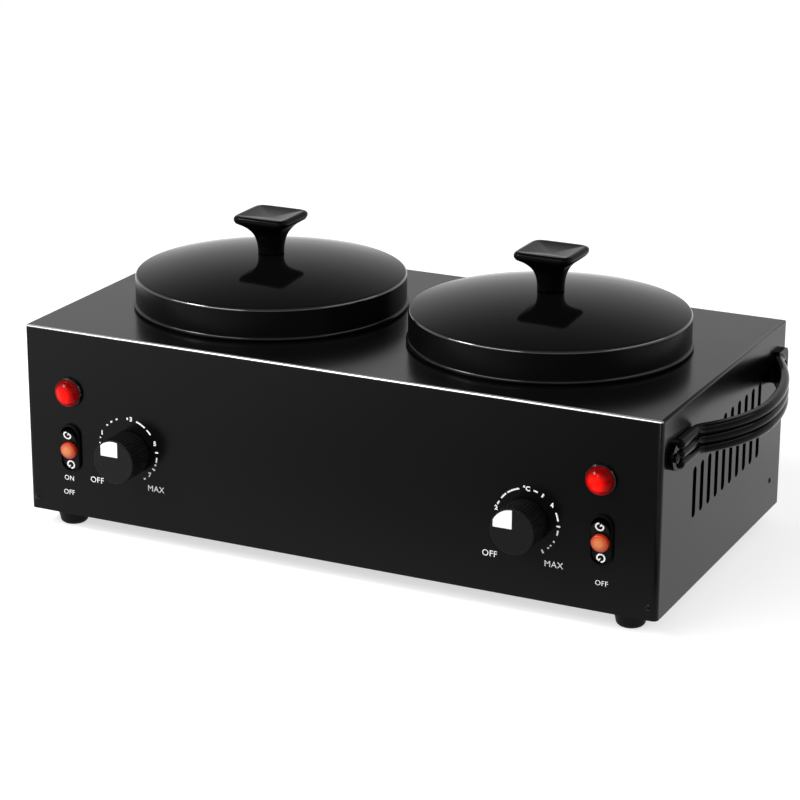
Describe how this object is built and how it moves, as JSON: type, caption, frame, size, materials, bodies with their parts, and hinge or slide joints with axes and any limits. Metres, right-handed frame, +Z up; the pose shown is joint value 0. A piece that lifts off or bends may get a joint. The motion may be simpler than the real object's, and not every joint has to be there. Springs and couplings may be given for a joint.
{
  "type": "wax heater",
  "caption": "Black sheet-metal twin-pot wax heater with domed lids, square-headed lid knobs, thermostat dials, rocker switches, pilot lamps and side handles.",
  "frame": {"origin": "middle of the whole object's footprint, on the surface its feet stand on", "axes": "+Z up, the control panel faces -Y, +X to the right as seen from the front"},
  "size_m": [0.5126, 0.2596, 0.2037],
  "materials": {
    "black_enamel": "satin",
    "black_lid": "gloss",
    "black_gloss": "gloss",
    "black_plastic": "matte",
    "rubber": "matte",
    "zinc": "satin",
    "black_screw": "satin",
    "aluminium": "satin",
    "pot_steel": "satin",
    "mica_band": "matte",
    "white_plastic": "satin",
    "red_lens": "gloss",
    "amber_lens": "gloss",
    "brass": "satin"
  },
  "bodies": {
    "root": {"housing": "black_enamel", "base_pan": "black_enamel", "rubber_feet": "rubber", "foot_screws": "zinc", "foot_nuts": "zinc", "base_screws": "black_screw", "left_well": "aluminium", "right_well": "aluminium", "left_heater_band": "mica_band", "right_heater_band": "mica_band", "left_heat_shield": "aluminium", "right_heat_shield": "aluminium", "left_cutout": "white_plastic", "right_cutout": "white_plastic", "left_thermostat": "white_plastic", "right_thermostat": "white_plastic", "thermostat_screws": "zinc", "left_lamp_bezel": "black_gloss", "right_lamp_bezel": "black_gloss", "left_lamp_lens": "red_lens", "right_lamp_lens": "red_lens", "lamp_nuts": "zinc", "left_switch": "black_gloss", "right_switch": "black_gloss", "left_handle": "black_gloss", "right_handle": "black_gloss", "handle_screws": "black_screw", "handle_nuts": "zinc", "power_inlet": "black_plastic", "inlet_pins": "brass", "inlet_screws": "zinc", "terminal_block": "white_plastic"},
    "left_pot": {"left_pot": "pot_steel"},
    "left_lid": {"left_lid": "black_lid", "left_lid_knob": "black_gloss", "left_lid_screw": "zinc"},
    "left_dial": {"left_shaft": "zinc", "left_knob": "black_plastic", "left_pointer": "white_plastic"},
    "left_rocker": {"left_rocker": "black_gloss", "left_rocker_lens": "amber_lens"},
    "right_pot": {"right_pot": "pot_steel"},
    "right_lid": {"right_lid": "black_lid", "right_lid_knob": "black_gloss", "right_lid_screw": "zinc"},
    "right_dial": {"right_shaft": "zinc", "right_knob": "black_plastic", "right_pointer": "white_plastic"},
    "right_rocker": {"right_rocker": "black_gloss", "right_rocker_lens": "amber_lens"}
  },
  "joints": [
    {"name": "left_pot_lift", "type": "slide", "parent": "root", "child": "left_pot", "axis": [0, 0, 1], "range_m": [0, 0.1]},
    {"name": "left_lid_lift", "type": "slide", "parent": "left_pot", "child": "left_lid", "axis": [0, 0, 1], "range_m": [0, 0.06]},
    {"name": "left_dial_turn", "type": "hinge", "parent": "root", "child": "left_dial", "pos_m": [-0.1455, -0.1077, 0.0635], "axis": [0, 1, 0], "range_deg": [-118, 152]},
    {"name": "left_rocker_tip", "type": "hinge", "parent": "root", "child": "left_rocker", "pos_m": [-0.1915, -0.1042, 0.0595], "axis": [1, 0, 0], "range_deg": [-18, 0]},
    {"name": "right_pot_lift", "type": "slide", "parent": "root", "child": "right_pot", "axis": [0, 0, 1], "range_m": [0, 0.1]},
    {"name": "right_lid_lift", "type": "slide", "parent": "right_pot", "child": "right_lid", "axis": [0, 0, 1], "range_m": [0, 0.06]},
    {"name": "right_dial_turn", "type": "hinge", "parent": "root", "child": "right_dial", "pos_m": [0.1375, -0.1077, 0.0635], "axis": [0, 1, 0], "range_deg": [-97, 173]},
    {"name": "right_rocker_tip", "type": "hinge", "parent": "root", "child": "right_rocker", "pos_m": [0.188, -0.1042, 0.0595], "axis": [1, 0, 0], "range_deg": [-18, 0]}
  ]
}
